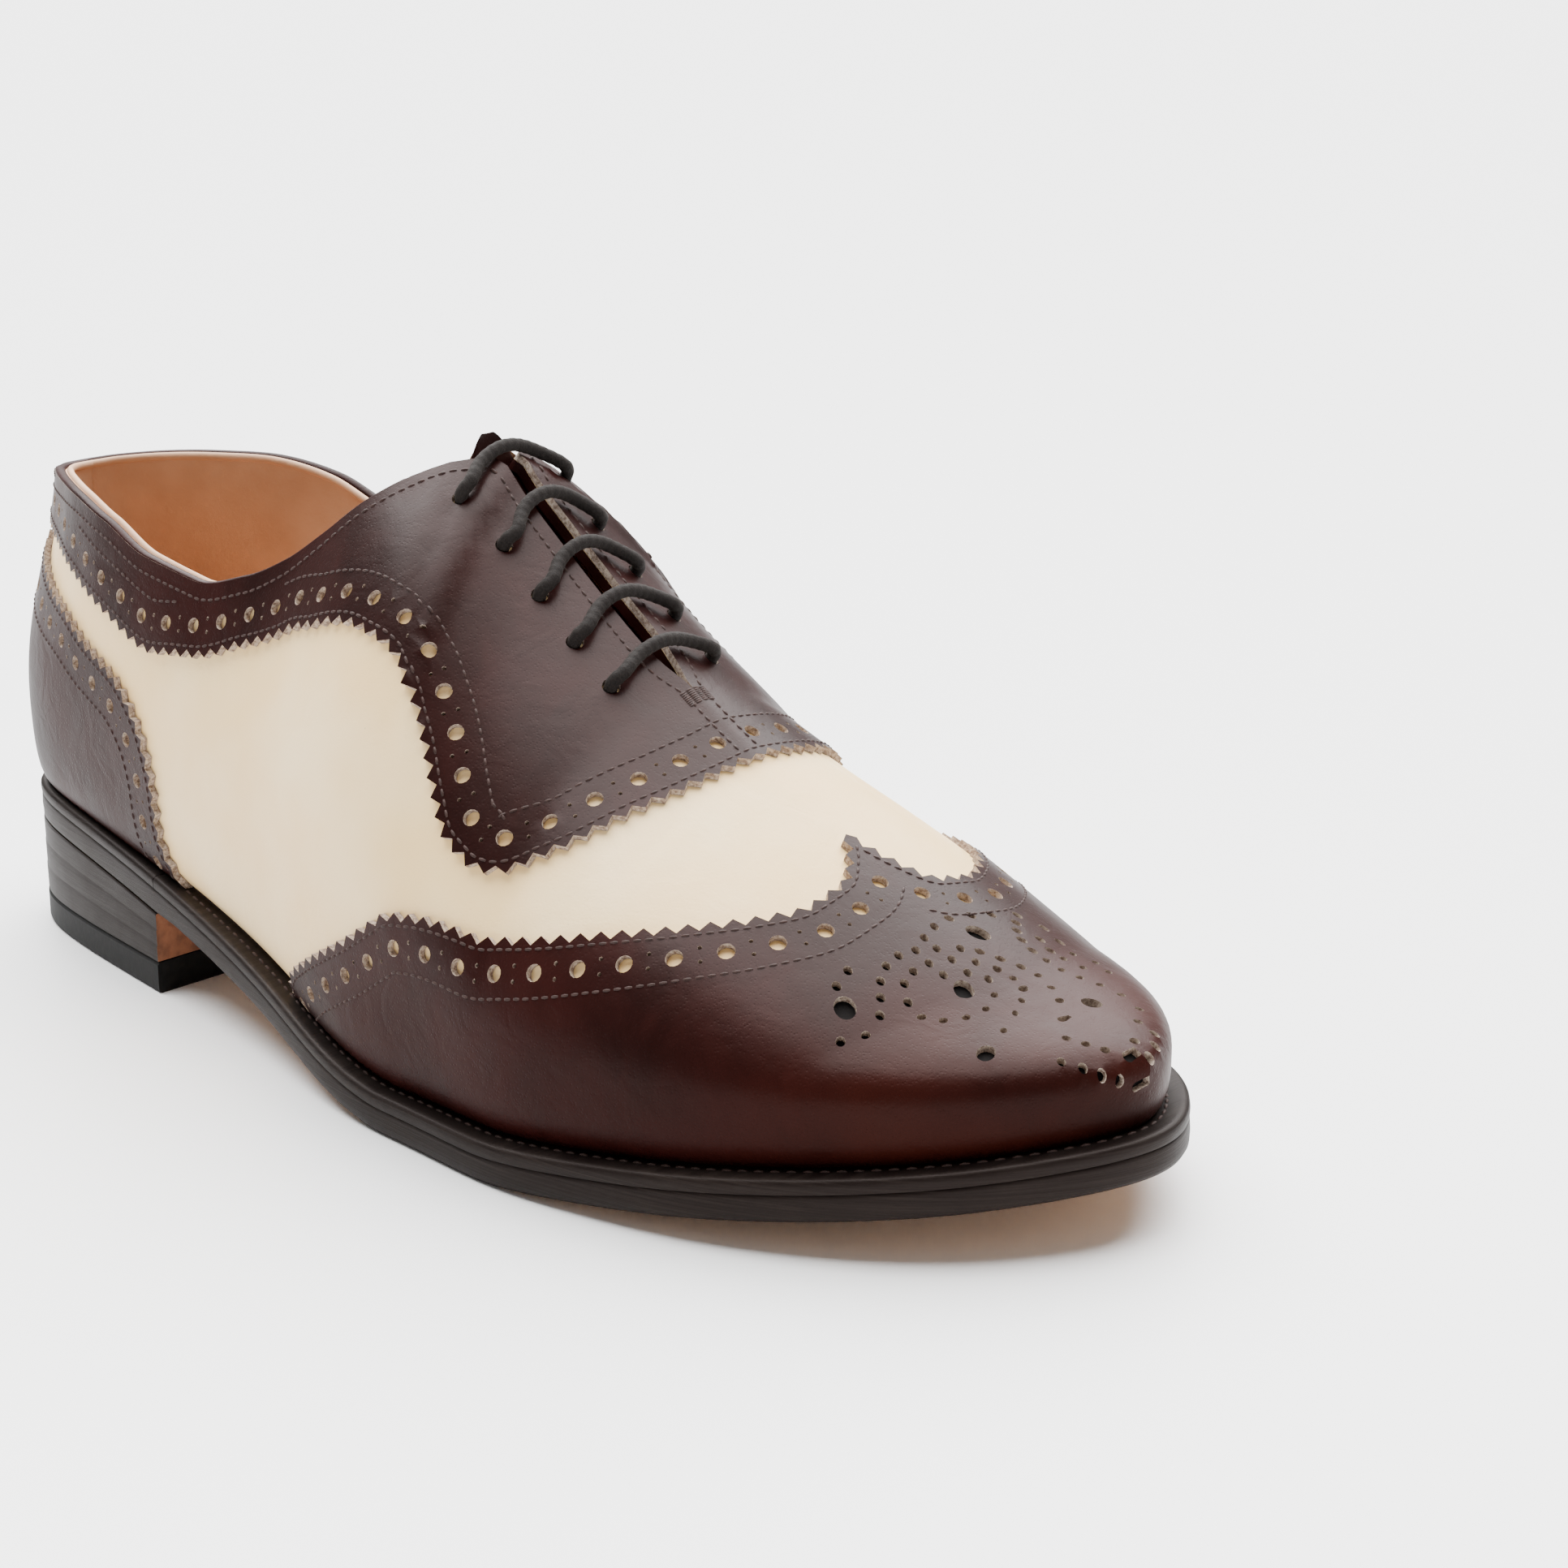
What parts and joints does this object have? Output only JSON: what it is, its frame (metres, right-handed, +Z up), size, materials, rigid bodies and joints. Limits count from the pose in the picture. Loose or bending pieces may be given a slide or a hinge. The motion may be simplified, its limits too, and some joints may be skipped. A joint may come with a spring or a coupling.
{
  "type": "spectator shoe",
  "caption": "Low closed-lacing dress shoe in two-tone leather with pinked, pierced overlays, laced slit, welted leather sole and stacked heel.",
  "frame": {"origin": "on the floor under the middle of the sole's box", "axes": "+X to the toe, -Y to the outer side of this right shoe, +Z up"},
  "size_m": [0.3028, 0.1072, 0.119],
  "materials": {
    "cream_calf": "smooth polished calf with fine creases",
    "brown_calf": "dark burgundy-brown polished calf",
    "sole_edge": "stained and waxed leather edge",
    "lining_leather": "matte tan lining leather",
    "top_rubber": "matte",
    "waxed_cotton": "round braided lace, slightly fuzzy"
  },
  "bodies": {
    "root": {"upper": "cream_calf", "wing_cap": "brown_calf", "heel_counter": "brown_calf", "facing": "brown_calf", "back_tab": "brown_calf", "tongue": "brown_calf", "lace": "waxed_cotton", "insole": "lining_leather", "welt": "sole_edge", "heel_rand": "sole_edge", "outsole": "sole_edge", "heel_stack": "sole_edge", "top_piece": "top_rubber"}
  },
  "joints": []
}
